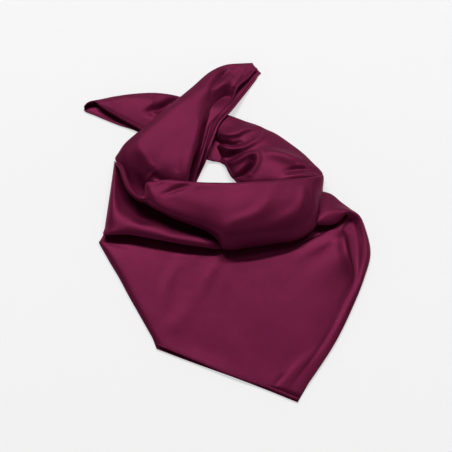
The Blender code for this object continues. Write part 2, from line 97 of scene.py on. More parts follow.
WHITE = (1.0, 1.0, 1.0, 1.0)
SATIN_DARK = (0.106, 0.0074, 0.033, 1.0)
SATIN_LIGHT = (0.132, 0.0102, 0.042, 1.0)
SATIN = {
    "Roughness": 0.43,
    "Metallic": 0.44,
    "Specular IOR Level": 0.12,
    "Specular Tint": (1.0, 0.35, 0.55, 1.0),
}
THREAD = {"Base Color": (0.135, 0.011, 0.046, 1.0), "Roughness": 0.7}
TABLE = {
    "Base Color": (0.5, 0.5, 0.5, 1.0),
    "Emission Color": WHITE,
    "Emission Strength": 0.55,
    "Roughness": 0.9,
    "Specular IOR Level": 0.1,
}

# The studio is in metres and degrees: the table's rings as radius and height, and its lamps.
TABLE_RINGS = ((0.5, 0.0), (3.5, 0.0), (4.2, 0.1), (4.7, 0.4), (5.0, 0.9), (5.0, 1.4))
TABLE_SIDES = 48
TABLE_BELOW = 0.0004
DAYLIGHT = 0.10
LAMP_WIDTH = 0.35
LAMP_AWAY = 6.0
LENS = 85.0
SENSOR = 36.0

Lamp = namedtuple("Lamp", "name azimuth elevation length power")
LAMPS = (Lamp("long", 10, 52, 4.4, 228), Lamp("right", -50, 48, 0.8, 40))

Drop = namedtuple("Drop", "edge brow west middle east root back turn lip crest slope outer")
Band = namedtuple("Band", "turn depth neck upper middle brow roll lip tuck")
Fold = namedtuple("Fold", "back valley rise crest brow lip tuck")
Strip = namedtuple("Strip", "under bed_in bed_out fold low mid high shoulder side hem")
Crease = namedtuple("Crease", "height left right path")

# From the line hidden under the cowl down to the point, each row from its left edge to its right one.
DROP_ROWS = (
    Drop((-131, -3, 1.7), (-127, -3, 1.8), (-80, -5, 1.7), (-20, -12, 1.7), (50, -12, 1.7), (92, -8, 1.7),
         (100, 6, 1.7), (101, 13, 4.4), (99, 2, 9.6), (99, 5.4, 11.4), (101, 24, 10), (104, 46, 2.0)),
    Drop((-137, -17.5, 1.7), (-132, -17.5, 2.4), (-80, -24, 1.7), (-18, -28, 1.7), (52, -18, 1.7),
         (100, -9, 1.7), (109, 5, 1.7), (111, 12.5, 4.5), (110, 1.2, 8.8), (110, 4.8, 11), (111, 21, 11),
         (118, 41, 2.0)),
    Drop((-138.5, -20.5, 1.7), (-133, -21, 3.2), (-78, -34, 1.7), (-15, -38, 1.7), (56, -25, 1.7),
         (106, -9, 1.7), (119, 5, 1.7), (121, 13, 4.6), (121, 3.2, 7.6), (121, 7, 10.2), (122, 20, 11),
         (128, 31, 2.0)),
    Drop((-137.6, -23, 1.6), (-132, -23.4, 3.7), (-77, -38, 1.7), (-14, -43, 1.7), (58, -29, 1.7),
         (108, -8, 1.8), (124.5, 7, 1.7), (127, 15, 4.7), (127, 8, 7), (127, 11.6, 10.2), (128, 21, 10.8),
         (133, 26.5, 2.0)),
    Drop((-136, -26, 1.6), (-131, -26, 4.0), (-75, -43, 1.7), (-12, -48, 1.7), (60, -34, 1.7),
         (111, -7, 3.4), (129.5, 8, 1.7), (133, 16, 4.8), (133.4, 14.5, 8), (133.6, 17.4, 10.8),
         (134.4, 20.8, 10.2), (138, 22, 2.0)),
    Drop((-131, -35, 1.4), (-126, -35, 4.4), (-71, -53, 1.7), (-9, -58, 1.7), (64, -44, 1.8),
         (114, -16, 5), (126, -6, 3.4), (129.4, -3, 1.8), (138, 5, 1.4), (143.6, 11, 6), (146, 13.4, 6.6),
         (147.6, 13.4, 2.0)),
    Drop((-125, -46, 1.2), (-120, -46, 4.4), (-67, -64, 1.7), (-5, -70, 1.7), (67, -56, 1.9),
         (117, -24, 5.4), (129, -15, 7.4), (132, -13.6, 2.6), (140, -9, 1.2), (147, -5, 4),
         (150.6, -3.4, 5.4), (153, -3, 2.0)),
    Drop((-114.5, -64, 1.2), (-109.5, -64, 4.2), (-60, -82, 1.7), (0, -88, 1.7), (70, -74, 1.9),
         (120, -40, 6.4), (132, -36, 9.8), (134.8, -35.4, 2.4), (141.6, -34.6, 1.2), (149, -34, 4.6),
         (153.4, -34, 5.6), (156.6, -34, 2.0)),
    Drop((-103, -86, 1.2), (-98, -86, 3.8), (-52, -104, 1.7), (6, -112, 1.7), (68, -102, 1.8),
         (119, -68, 4.2), (134, -63.8, 4.6), (137, -63.4, 3), (139.8, -63.2, 2.6), (142.6, -63.4, 3.4),
         (145.8, -64, 3.6), (148, -64, 2.0)),
    Drop((-93, -104, 1.2), (-88, -104, 3.6), (-44, -124, 1.7), (9, -135, 1.7), (63, -131, 1.8),
         (107, -97, 3.2), (118, -94, 3.2), (125, -93, 2.8), (127, -93.5, 3), (130, -94, 3.8),
         (133, -95, 3.2), (135.2, -95, 1.8)),
    Drop((-82.5, -123, 1.2), (-77.5, -124, 3.4), (-36, -143, 1.7), (13, -160, 1.7), (57, -163, 1.8),
         (90, -142, 2.4), (97, -139.5, 2.4), (101, -139, 2.0), (104, -139, 2.3), (107, -139.4, 2.5),
         (110, -140, 2.3), (112.6, -140.4, 1.8)),
    Drop((-71.5, -142.5, 1.3), (-66.5, -144.5, 3.4), (-32, -159.5, 3.0), (9, -177.5, 2.4),
         (38, -188, 2.2), (52, -194, 2.2), (56, -195.7, 2.2), (59, -197, 2.2), (62, -198.3, 2.2),
         (65, -199.6, 2.2), (68, -200.9, 2.1), (71.5, -202.4, 1.8)),
)

# The ply below, flat on the surface, from under the band down to the point. Past the drop's edge it
# shows as a thin dark edge.
UNDER_ROWS = (
    ((-116, 50, 0.6), (-80, 36, 0.6), (0, 36, 0.6), (60, 36, 0.6), (100, 33, 0.6)),
    ((-128, -7, 0.6), (-70, -8, 0.6), (0, -10, 0.6), (70, 0, 0.6), (124, 10, 0.6)),
    ((-129, -36, 0.6), (-68, -50, 0.6), (0, -55, 0.6), (75, -45, 0.6), (150, -22, 0.6)),
    ((-112, -67, 0.6), (-58, -86, 0.6), (6, -95, 0.6), (74, -88, 0.6), (143, -66, 0.6)),
    ((-91, -105, 0.6), (-46, -122, 0.6), (10, -132, 0.6), (66, -130, 0.6), (122, -112, 0.6)),
    ((-79.7, -126.4, 0.6), (-36, -144.4, 0.6), (12, -158, 0.6), (58, -166, 0.6), (101, -154, 0.6)),
    ((-71.6, -146.4, 0.6), (-34, -161.6, 0.6), (8, -177.8, 0.6), (40, -190.8, 0.6), (72, -204.6, 0.6)),
)

# The neckline's band, from the left corner to the right one, from the neckline down to its tucked edge.
BAND_ROWS = (
    Band((1.4, 1.0), 4, (-124, 84.5, 12), (-124.6, 84.2, 12), (-125.1, 83.7, 11.6), (-125.5, 83.2, 11),
         (-125.9, 82.7, 10), (-126.2, 82.2, 9), (-124.6, 82.2, 8)),
    Band((2, 1), 5, (-118.5, 78, 15), (-119.2, 77.5, 15.2), (-119.8, 76.9, 14.8), (-120.3, 76.3, 14),
         (-120.9, 75.5, 12.6), (-121.4, 74.5, 11), (-119, 75.5, 9)),
    Band((2, 1.2), 6, (-114, 65, 18), (-114.7, 64.3, 18.2), (-115.4, 63.5, 17.8), (-115.9, 62.8, 17),
         (-116.5, 61.8, 15.2), (-116.9, 60.6, 13), (-114, 62.5, 10.5)),
    Band((2, 1.6), 6, (-109.2, 52, 21), (-109.9, 51.2, 21.2), (-110.5, 50.3, 20.7), (-111, 49.4, 19.6),
         (-111.4, 48.3, 17.6), (-111.6, 47, 15), (-108.5, 49.5, 12)),
    Band((1.4, 2), 7, (-103.5, 43, 23), (-103.9, 42, 23.3), (-104.2, 41, 22.7), (-104.4, 40, 21.4),
         (-104.4, 38.8, 19.2), (-104.2, 37.4, 16.4), (-99, 41.5, 13)),
    Band((0.4, 2.6), 8, (-97, 37.6, 25.2), (-96.9, 36.4, 25.6), (-96.7, 35.2, 25), (-96.4, 34, 23.6),
         (-96, 32.7, 21.4), (-95.4, 31.2, 18.6), (-90, 37, 14.5)),
    Band((-1, 2.4), 8, (-92.2, 38.2, 25), (-91.5, 36.4, 25.4), (-90.9, 34.4, 25), (-90.2, 32.4, 23.6),
         (-89.5, 30.4, 21.4), (-88.6, 28.4, 18.6), (-82.5, 35, 14.5)),
    Band((-2, 1.2), 8, (-89.7, 46, 26.6), (-88.2, 42, 27), (-86.6, 36.4, 26.8), (-85, 30, 25),
         (-84, 26.6, 22.6), (-82.8, 24.4, 19.4), (-76, 32, 15)),
    Band((-1.6, 1.4), 8, (-88.8, 56, 28.4), (-86, 49, 29), (-83, 39.4, 28.8), (-80, 27.6, 26.4),
         (-78.6, 23.6, 23.4), (-77.4, 21, 19.6), (-71, 29, 14.4)),
    Band((-0.4, 2.2), 9, (-80, 57.4, 29), (-77.5, 49, 29.6), (-74.5, 36, 29.4), (-71, 22.5, 27),
         (-69.6, 18.4, 23.4), (-68.6, 16, 18.6), (-63, 24, 13.4)),
    Band((0, 2.2), 10, (-67, 59.8, 30), (-64.5, 50, 30.2), (-61, 35, 29.6), (-57.5, 16, 26.4),
         (-56.2, 11.2, 22), (-55, 8.6, 17.4), (-51, 18, 12.4)),
    Band((0, 2.2), 10, (-45, 57.6, 31), (-43.5, 47, 31), (-41, 29, 30), (-36.5, 7, 25.4),
         (-35.2, 2.4, 20.4), (-34, -0.4, 15), (-31, 7, 11)),
    Band((0, 2.2), 10, (-24, 56, 32), (-23.5, 45, 32), (-23, 23, 30.6), (-22, 1, 25), (-21.4, -3.6, 19.6),
         (-20.6, -6.6, 13.6), (-17.5, 1, 10)),
    Band((0, 2.2), 10, (-12, 55.8, 32.6), (-12, 45, 32.8), (-11.6, 20, 31.4), (-11, -5, 26),
         (-10.8, -11.4, 19.6), (-10.4, -16.4, 12.6), (-8, -9, 9)),
    Band((0, 2.2), 10, (-1, 55.6, 33), (-1, 45, 33.6), (-1.6, 19, 32.6), (-2.6, -7, 28.4),
         (-3.2, -19, 20), (-3.6, -28.6, 9.6), (-2.6, -22, 6.8)),
    Band((0, 2.2), 10, (10, 55.8, 33), (10, 45, 34), (9.6, 20, 33.6), (8, -7, 29.4), (7, -19, 21),
         (6, -30, 9), (6, -24, 6.2)),
    Band((0, 2.2), 10, (25, 57, 33), (25, 46, 34.2), (24.5, 24, 34), (23, -6, 29.4), (21.5, -17.5, 21),
         (20, -27.5, 8.8), (20, -21.5, 6)),
    Band((0, 2.2), 10, (50, 58.5, 32), (51, 47, 33.2), (51, 27, 33), (51, -1, 28), (50.5, -13, 20),
         (50, -22.5, 8.6), (50, -16, 5.5)),
    Band((0, 2.2), 9, (75, 60.5, 29.4), (76, 50, 30.4), (77, 32, 30.4), (78, 5, 25.6), (78.5, -7, 18.4),
         (79, -17, 8.8), (76, -12, 6)),
    Band((0, 2.0), 7, (95, 62.5, 26), (96, 54, 26.2), (97, 39, 24.8), (98, 16, 19.6), (97.5, 5, 14.6),
         (97, -3, 9.4), (92, 0, 7.4)),
    Band((0, 2.0), 5, (106.4, 64.4, 21), (106.6, 57, 20.2), (106, 47, 17), (105.2, 37, 14),
         (104.4, 27, 11.8), (103, 16, 9.8), (98, 16, 8.6)),
    Band((0, 1.8), 4, (110.2, 65, 17), (110.2, 61, 15.6), (109.8, 57, 13.8), (109.2, 53, 12.4),
         (108.6, 49, 11), (108, 45, 9.8), (104, 44, 9)),
)

# The fold under the band at the left, from the left corner to where it dies out under the band.
FOLD_ROWS = (
    Fold((-122.6, 83, 5), (-124.6, 83, 5.8), (-125.4, 83.4, 6.4), (-126, 84.2, 6.2), (-126.6, 85, 5),
         (-127, 85.6, 3.6), (-126, 85, 1.4)),
    Fold((-117, 75, 4.4), (-121.4, 73, 5), (-123.6, 73.4, 7.4), (-125.8, 74, 8.8), (-127, 74.4, 7),
         (-127.6, 74.6, 3.6), (-125.2, 75, 1.2)),
    Fold((-110, 60, 3.6), (-116.6, 57, 4.2), (-121.6, 56.6, 8.4), (-126, 57, 11), (-127.8, 57, 9),
         (-128.6, 57, 4), (-125, 57, 1.2)),
    Fold((-102, 51, 3), (-109.5, 44, 3.2), (-118, 38, 8.6), (-126, 31, 13), (-129.6, 27.6, 10),
         (-130.8, 26, 4), (-126, 27, 1.2)),
    Fold((-94, 45, 2.8), (-103, 34, 2.8), (-112.5, 25, 8.8), (-122, 16, 14.6), (-129.6, 4, 11),
         (-133, -2, 4), (-127.5, 0, 1.2)),
    Fold((-84, 39, 2.8), (-94, 25, 2.8), (-101.6, 17.5, 9), (-110.5, 8, 15.4), (-122, -2, 14),
         (-134, -11, 9.6), (-128, -5, 5.4)),
    Fold((-76, 34, 2.8), (-84, 17, 2.8), (-90, 7.5, 9), (-96, 2, 15.4), (-102, -5, 15.2),
         (-109, -10.6, 11.4), (-106, -4, 7)),
    Fold((-63, 25, 3), (-69, 8, 3), (-73.6, 4, 8.6), (-77, -1, 14.2), (-80, -9.6, 15),
         (-82.6, -15.6, 11.4), (-80.5, -9, 7)),
    Fold((-46, 14, 3.2), (-52, -1, 3.2), (-54.6, -3.6, 8), (-57.2, -8.4, 13.2), (-58, -15.6, 14.2),
         (-58.4, -20.6, 11.2), (-57, -14, 7)),
    Fold((-28, 5, 3.5), (-34, -8, 3.4), (-36.8, -9.6, 7.5), (-38.8, -13, 12.6), (-39, -19.4, 13.2),
         (-39, -24.4, 10.4), (-38, -18, 7)),
    Fold((-13, -4, 4), (-17, -14, 4), (-19.4, -14, 6.8), (-20.8, -16.8, 11), (-21, -22.6, 11.8),
         (-21, -27, 9.6), (-20.5, -21.6, 6.4)),
    Fold((-6, -9, 4), (-8, -16.4, 4.2), (-9.2, -17.6, 6), (-10.2, -19.6, 9.2), (-10.6, -24.8, 10),
         (-10.2, -28.6, 8), (-10, -24.4, 5.4)),
    Fold((5, -15, 4), (3, -18.4, 4.4), (1.4, -21.4, 5), (0.2, -23.4, 5.4), (-0.4, -24.6, 5.4),
         (-0.6, -26.4, 4.8), (-0.2, -25, 4)),
)

# The strip from the left corner over the crossing to the tip of the right tail.
RIGHT_TAIL_ROWS = (
    Strip((-34, 38, 0.6), 0.6, 0.6, (-116, 72, 3), (-107, 53, 4), (-92, 36.5, 4), (-72, 40, 11),
          (-44, 38, 12), (-47, 38, 4.4), (-36, 38.5, 5.4)),
    Strip((-34.2, 53, 0.6), 0.6, 0.6, (-120, 80, 3.5), (-111, 60, 4), (-96, 41, 4), (-72, 54, 13),
          (-44, 52, 15), (-47, 52, 4.4), (-36, 52.5, 5.4)),
    Strip((-29.2, 68, 0.8), 0.8, 0.6, (-126.4, 88.5, 6), (-115, 69, 7), (-98, 50, 5), (-71, 62, 16),
          (-43, 66, 18.6), (-45.5, 67, 5), (-33.5, 67, 6.6)),
    Strip((-23.2, 84, 4), 3.4, 0.8, (-123, 97, 9), (-117, 88.5, 13), (-99, 73, 12.5), (-76, 80, 19),
          (-40, 82, 20.4), (-42.5, 83, 6.2), (-28.4, 84, 8.8)),
    Strip((-18.4, 102, 8), 8, 5.5, (-116.5, 109.5, 11.5), (-111.5, 105.5, 16), (-97, 99, 19),
          (-72, 99, 20.4), (-37.2, 100.5, 21), (-29.6, 101.5, 8.6), (-24.4, 102, 10.2)),
    Strip((-13, 120, 8.4), 8.4, 7.8, (-99.5, 128, 12), (-95, 125, 17), (-79, 118, 19.5), (-56, 118, 20.8),
          (-34, 120, 21.2), (-25.6, 120, 8.8), (-20, 120.5, 10.6)),
    Strip((-6, 139, 8.4), 8.4, 8.5, (-81, 148, 13), (-77, 144.5, 17.5), (-63, 138, 19.5),
          (-44, 136, 20.5), (-31.6, 137.5, 20.6), (-21.4, 138.5, 8.2), (-15, 140, 10.2)),
    Strip((7, 156.5, 7.3), 7.8, 8.4, (-61, 169, 12.5), (-57, 166, 16.5), (-47, 160, 18),
          (-37.5, 158, 18.4), (-29, 157.4, 17), (-10, 157, 5.4), (-3, 157, 7.8)),
    Strip((17.5, 172.5, 4), 3, 3, (-40, 191, 10), (-37, 188.5, 13.5), (-31, 184, 15.5), (-26.5, 180, 15),
          (-20, 176.4, 11.4), (0, 173, 3.2), (8, 172.8, 5.6)),
    Strip((28.5, 189.5, 1.2), 1, 1, (-18.5, 214, 7), (-16.4, 211, 10), (-13.5, 205, 11.5),
          (-10.6, 201, 12), (-4, 198, 10), (5, 194.4, 8), (15, 191, 7.4)),
    Strip((36.2, 202.2, 0.8), 0.6, 0.6, (-0.5, 224, 4), (3, 219.6, 6.5), (6, 216, 7), (10, 212, 6.5),
          (14, 209.5, 6.4), (20, 206.5, 6), (27, 203.4, 4.2)),
    Strip((39, 208, 0.6), 0.6, 0.6, (20, 226.4, 3), (21.5, 224, 4.8), (23, 221.5, 5.2), (25, 219, 5),
          (27, 216.5, 4.8), (29.4, 214.2, 4.4), (33, 211.4, 2.8)),
    Strip((42, 211, 0.6), 0.6, 0.6, (32, 227, 2), (32.6, 225.6, 3.3), (33.2, 223.7, 3.6),
          (34.4, 222.2, 3.6), (35.6, 220.6, 3.4), (36.8, 218.9, 3.2), (38, 217.2, 3)),
)

# The other strip, from the right corner round and under the crossing to the open end of the left tail.
LEFT_STRIP_ROWS = (
    Strip((94, 40, 0.6), 0.6, 0.6, (107, 56, 7), (106, 54.5, 9), (104, 52, 10), (101, 49, 9.5),
          (98, 46, 7.5), (95, 42, 4.4), (93, 40, 2.2)),
    Strip((90, 52, 0.6), 0.6, 0.6, (109.5, 67, 8), (108.5, 65.5, 10.5), (106, 63.5, 12), (102, 60.5, 11),
          (97, 57, 8.5), (92, 53, 5), (89, 50, 2.2)),
    Strip((65, 46, 0.6), 0.6, 0.6, (107, 73, 8), (104, 69, 12.5), (100, 64, 15), (91, 59, 16),
          (78, 55.3, 15), (69, 51.5, 12), (64, 48.3, 8)),
    Strip((43, 45, 0.6), 0.6, 0.6, (100, 81.4, 7.5), (97, 77, 12.5), (90, 69, 16), (78, 61, 18),
          (62, 56.3, 17), (48, 50.9, 12), (42, 48.3, 8)),
    Strip((24, 50, 0.6), 0.6, 0.6, (89, 95.2, 6.5), (85, 91, 12), (76, 81, 16), (62, 70, 18.5),
          (46, 61.7, 17), (30, 54.3, 12), (23, 51.8, 7)),
    Strip((10.5, 60, 0.6), 0.6, 0.6, (73, 110.4, 5.5), (69, 106, 10.5), (60, 96, 15), (47, 82, 18),
          (31, 70, 15), (16, 62, 10), (9.5, 59, 5)),
    Strip((4, 71, 0.6), 0.6, 0.6, (55, 125, 5), (51, 120, 10), (43, 110, 14), (33, 97, 15), (21, 85, 12),
          (9, 76, 8), (3, 70, 4)),
    Strip((0, 80, 0.6), 0.6, 0.6, (36, 133.5, 4.5), (33, 130, 8), (28, 121, 11), (21, 108, 12),
          (13, 96, 11), (4, 86, 6.5), (-1, 79.5, 2.6)),
    Strip((-7, 84, 0.6), 0.6, 0.6, (16, 144, 4.5), (13, 138, 8), (9, 127, 10), (4, 113, 10), (0, 101, 10),
          (-5, 90, 6), (-8, 83, 2.2)),
    Strip((-23, 89, 0.6), 0.6, 0.6, (0, 151, 4), (-3, 144, 6.2), (-7, 134, 6.6), (-11, 122, 6.5),
          (-15, 109, 5.8), (-20, 96, 3.2), (-24, 88, 2.2)),
    Strip((-47, 98, 0.6), 0.6, 0.6, (-18, 158, 3), (-23, 152, 5.2), (-28, 141, 5.4), (-34, 128, 5.4),
          (-40, 115, 5), (-45, 103, 3), (-48, 97, 2.2)),
    Strip((-78, 111, 0.6), 0.6, 0.6, (-53, 176, 4), (-56.5, 166, 5.8), (-60, 154, 6), (-66, 139, 6),
          (-71, 127, 5.2), (-75, 117, 3.4), (-77, 112, 2.4)),
    Strip((-106, 128, 0.6), 0.6, 0.6, (-82, 182, 4.5), (-85, 174, 8), (-88, 167, 9), (-92, 157, 8.5),
          (-96, 147, 7.5), (-100, 137, 6), (-103, 131, 4.5)),
    Strip((-124, 135, 0.6), 0.6, 0.6, (-107, 181, 4.5), (-108, 176.6, 8), (-111, 170, 9),
          (-113, 162, 8.8), (-116, 154, 8), (-118, 147, 7), (-120, 142, 5.5)),
    Strip((-141, 143, 0.6), 0.6, 0.6, (-131, 177, 4.5), (-131.5, 174, 7.6), (-132, 170, 8.8),
          (-133, 165, 8.8), (-134, 160, 8.4), (-135, 156, 7.6), (-136, 153, 6.4)),
    Strip((-155, 150, 0.6), 0.6, 0.6, (-148, 172.6, 4), (-148, 171, 6.8), (-148, 169, 7.8),
          (-148, 167, 8), (-148.5, 165.5, 8), (-148, 164, 7.6), (-148, 162.5, 7)),
    Strip((-161, 152.6, 0.6), 0.6, 0.6, (-157, 170.4, 3), (-156.8, 170.4, 3.8), (-156.4, 170.3, 4.6),
          (-156, 170.1, 5.2), (-155.5, 169.8, 5.8), (-155, 169.4, 6.2), (-154.4, 168.9, 6.5)),
    Strip((-164.4, 154.4, 0.6), 0.6, 0.6, (-162.8, 167.4, 2.8), (-162.8, 167.5, 3.5),
          (-162.7, 167.5, 4.2), (-162.6, 167.4, 4.8), (-162.4, 167.3, 5.3), (-162.2, 167.1, 5.7),
          (-162, 166.9, 6)),
    Strip((-166.6, 156.6, 0.6), 0.6, 0.6, (-166.8, 161.6, 2.6), (-166.8, 161.8, 3.2),
          (-166.7, 161.9, 3.8), (-166.6, 162, 4.3), (-166.5, 162, 4.8), (-166.4, 162, 5.2),
          (-166.2, 162, 5.5)),
)

# A crease has a height, negative where it is sunk, its widths to the left and right of its path, and the
# path as places on the table.
STRIP_CREASES = (
    Crease(2.6, 9, 3, ((-14, 126), (-6, 123), (2, 120.5), (12, 121.5), (21, 127), (32, 130), (46, 133))),
    Crease(-4.2, 3, 3.5, ((-18, 118), (-9.5, 113.6), (-0.5, 111), (9, 108.6), (16, 111))),
    Crease(2.8, 4, 3.5, ((-11, 108), (-1, 103.5), (10, 101), (21, 103.5), (30, 109), (39, 116), (45, 125))),
    Crease(-2.4, 5, 4, ((-11, 99), (-3, 92), (4, 91), (12, 95), (20, 101))),
    Crease(-8.5, 7, 3.5, ((-16, 122), (-15.5, 114), (-15, 103), (-13, 93), (-8, 83))),
    Crease(2.6, 3.5, 4, ((-8, 85), (-1, 81), (10, 83.6), (20, 90), (29, 95), (35.5, 93), (36.5, 86), (32, 75),
                         (27, 67))),
    Crease(-7.5, 3.2, 3, ((10, 62), (16.5, 67.5), (23.5, 74.5), (28.5, 81), (30.5, 86.5))),
    Crease(4.4, 7, 8, ((42, 96), (54, 95), (66, 91), (80, 84), (92, 76))),
    Crease(-1.8, 2.5, 4, ((68, 72), (80, 74.5), (92, 74), (101, 70))),
    Crease(-1.0, 3, 3, ((78, 81), (86, 82.5), (94, 80))),
    Crease(1.6, 3, 4, ((68, 64), (82, 66), (95, 66), (104, 65))),
    Crease(-6.0, 6, 6, ((-55, 176), (-60, 172), (-68, 167), (-76, 161), (-85, 153))),
    Crease(-1.2, 4, 4, ((-82, 163), (-88, 158), (-95, 153))),
    Crease(0.8, 2.5, 2.5, ((-87, 175), (-87.5, 168), (-89, 161))),
    Crease(-0.6, 5, 5, ((-116, 172), (-120, 166), (-122, 160))),
)
BAND_CREASES = (
    Crease(1.3, 9, 6, ((52, 48), (46, 32), (38, 20), (27, 12), (8, 3), (0, -12))),
    Crease(1.2, 9, 6, ((88, 45), (84, 32), (77, 20), (68, 12), (53, 4))),
    Crease(-1.9, 3, 3.5, ((-70, 41), (-60, 46), (-50, 50.5), (-38, 55))),
    Crease(-0.7, 2.5, 3, ((-78, 50), (-73, 54), (-67, 56))),
    Crease(-0.8, 6, 10, ((-6, -20), (6, -2), (26, 6), (44, 12))),
    Crease(-0.9, 3, 3.5, ((93.5, 51), (93, 40), (92, 30), (88, 20))),
    Crease(0.7, 3, 4, ((87, 50), (87, 38), (84, 26), (77, 14))),
)
FOLD_CREASES = (
    Crease(-0.8, 4, 4, ((-132, -10), (-126, -13), (-120, -14))),
)
DROP_CREASES = (
    Crease(0.8, 4, 5, ((103, 4), (109, 12), (117, 17), (128, 18))),
    Crease(-0.8, 2.5, 3, ((111, 36), (106, 26), (101, 12), (99, 2))),
    Crease(0.8, 6, 4, ((-52, -40), (-58, -58), (-64, -76), (-66, -94))),
    Crease(-0.8, 5, 3, ((-28, -42), (-36, -60), (-42, -78))),
    Crease(0.8, 3, 5, ((-6, -38), (-12, -52), (-19, -66), (-24, -84))),
    Crease(0.5, 8, 8, ((-70, -128), (-56, -120), (-44, -106), (-38, -90))),
    Crease(-0.4, 10, 8, ((10, -60), (4, -90), (10, -120), (22, -148))),
    Crease(0.5, 4, 6, ((58, -186), (68, -172), (80, -160), (94, -150))),
    Crease(-0.5, 2, 3, ((50, -186), (54, -180), (60, -176))),
)
TAIL_CREASES = (
    Crease(0.8, 3, 6, ((-8, 214), (-14, 201), (-21, 187), (-24, 172), (-26, 158), (-31, 138), (-36, 118),
                       (-40, 100), (-43, 84), (-46, 68))),
    Crease(-4.2, 6, 4.5, ((6, 220), (0, 214), (-6, 206), (-12, 197), (-17, 187))),
    Crease(2.8, 6, 7, ((-19, 178), (-13, 188), (-5, 195), (4, 203))),
    Crease(-2.6, 6, 4.5, ((7, 187), (3, 180), (-4, 172), (-12, 163), (-20, 150))),
    Crease(1.0, 2.5, 3, ((22, 218), (17, 207), (11, 195), (4, 182), (-3, 172), (-12, 163))),
    Crease(-1.0, 4, 4, ((-53, 92), (-54, 84), (-55, 76), (-54, 68))),
    Crease(-2.0, 5, 5, ((-103, 70), (-98, 58), (-95, 46), (-92, 34))),
    Crease(-2.4, 4, 4, ((-84, 68), (-76, 62), (-66, 56))),
    Crease(1.6, 2, 2, ((-91, 48), (-89.6, 57), (-86, 66), (-80, 72))),
    Crease(1.2, 4, 7, ((-100, 122), (-98, 106), (-93, 92), (-86, 80), (-78, 74))),
)


def lifted(points):
    """Points in space for table points (x, y, z): z high on the sight line that meets the table at x, y."""
    flat = np.array(points, float)
    share = flat[..., 2:3] / EYE[2]
    flat[..., 2] = 0.0
    return flat + (EYE - flat) * share


def seen_at(points):
    """Where the sight lines through points meet the table."""
    run = EYE[2] / (EYE[2] - points[..., 2:3])
    return (EYE + (points - EYE) * run)[..., :2]


def smooth(points, steps):
    """Smooth curves through points down the first axis, with the steps from each point to the next."""
    hops = np.diff(points, axis=0)
    spans = np.sqrt(np.linalg.norm(hops, axis=-1, keepdims=True)) + SHORTEST_SPAN
    rates = hops / spans
    inner = (rates[:-1] * spans[1:] + rates[1:] * spans[:-1]) / (spans[:-1] + spans[1:])
    slopes = np.concatenate([rates[:1], inner, rates[-1:]])
    curve = []
    for i, count in enumerate(steps):
        for step in range(count):
            t = step / count
            curve.append(
                points[i] * (2 * t**3 - 3 * t**2 + 1)
                + slopes[i] * spans[i] * (t**3 - 2 * t**2 + t)
                + points[i + 1] * (3 * t**2 - 2 * t**3)
                + slopes[i + 1] * spans[i] * (t**3 - t**2)
            )
    curve.append(points[-1])
    return np.array(curve)


def net(rows, across, along):
    """A smooth grid through rows of points, with steps for each span across and one number for all rows."""
    wide = smooth(np.array(rows).swapaxes(0, 1), across).swapaxes(0, 1)
    return smooth(wide, [along] * (len(rows) - 1))


def raised(grid, lowest):
    """The same grid, with no point below the lowest height."""
    grid[..., 2] = np.maximum(grid[..., 2], lowest)
    return grid


def grid_normals(grid):
    """Unit normals of a grid, on the side that its rows and columns give."""
    down = np.gradient(grid, axis=0)
    across = np.gradient(grid, axis=1)
    normals = np.cross(down, across)
    normals /= np.linalg.norm(normals, axis=-1, keepdims=True) + SHORTEST_NORMAL
    return normals


def upward(normals):
    """The normals, all turned over together if they point down on the whole."""
    return normals * np.sign(normals[..., 2].mean())


def lengths_along(path):
    """The length of a path up to each of its points."""
    hops = np.linalg.norm(np.diff(path, axis=0), axis=1)
    return np.concatenate([[0.0], np.cumsum(hops)])


def at_lengths(wanted, lengths, values):
    """The values of a path, points or normals, at the wanted lengths along it."""
    return np.stack([np.interp(wanted, lengths, values[:, axis]) for axis in range(3)], axis=-1)


def nearest_on(path, spots):
    """For each spot its distance to a path, its side (+1 left) and the share of the path before it."""
    path = smooth(np.array(path, float), [CREASE_STEPS] * (len(path) - 1))
    hops = np.diff(path, axis=0)
    lengths = np.linalg.norm(hops, axis=1)
    before = lengths_along(path)
    best = np.full(spots.shape[:-1], np.inf)
    side = np.zeros(spots.shape[:-1])
    share = np.zeros(spots.shape[:-1])
    for start, hop, length, passed in zip(path, hops, lengths, before):
        away = spots - start
        t = (away @ hop / length**2).clip(0, 1)
        rest = away - t[..., None] * hop
        distance = np.linalg.norm(rest, axis=-1)
        closer = distance < best
        best = np.where(closer, distance, best)
        turn = hop[0] * away[..., 1] - hop[1] * away[..., 0]
        side = np.where(closer, np.sign(turn), side)
        share = np.where(closer, (passed + t * length) / before[-1], share)
    return best, side, share


def creased(grid, creases, first=0):
    """The grid, raised along each crease or sunk where its height is negative, from a first column on."""
    part = grid[:, first:]
    spots = seen_at(part)
    rise = np.zeros(part.shape[:2])
    for crease in creases:
        distance, side, share = nearest_on(crease.path, spots)
        width = np.where(side > 0, crease.left, crease.right)
        fade = np.sqrt(np.sin(np.pi * share.clip(CREASE_END, 1 - CREASE_END)))
        rise += crease.height * fade * np.exp(-(distance / width) ** 2)
    normals = upward(grid_normals(grid)[:, first:])
    out = grid.copy()
    out[:, first:] = part + normals * rise[..., None]
    return out


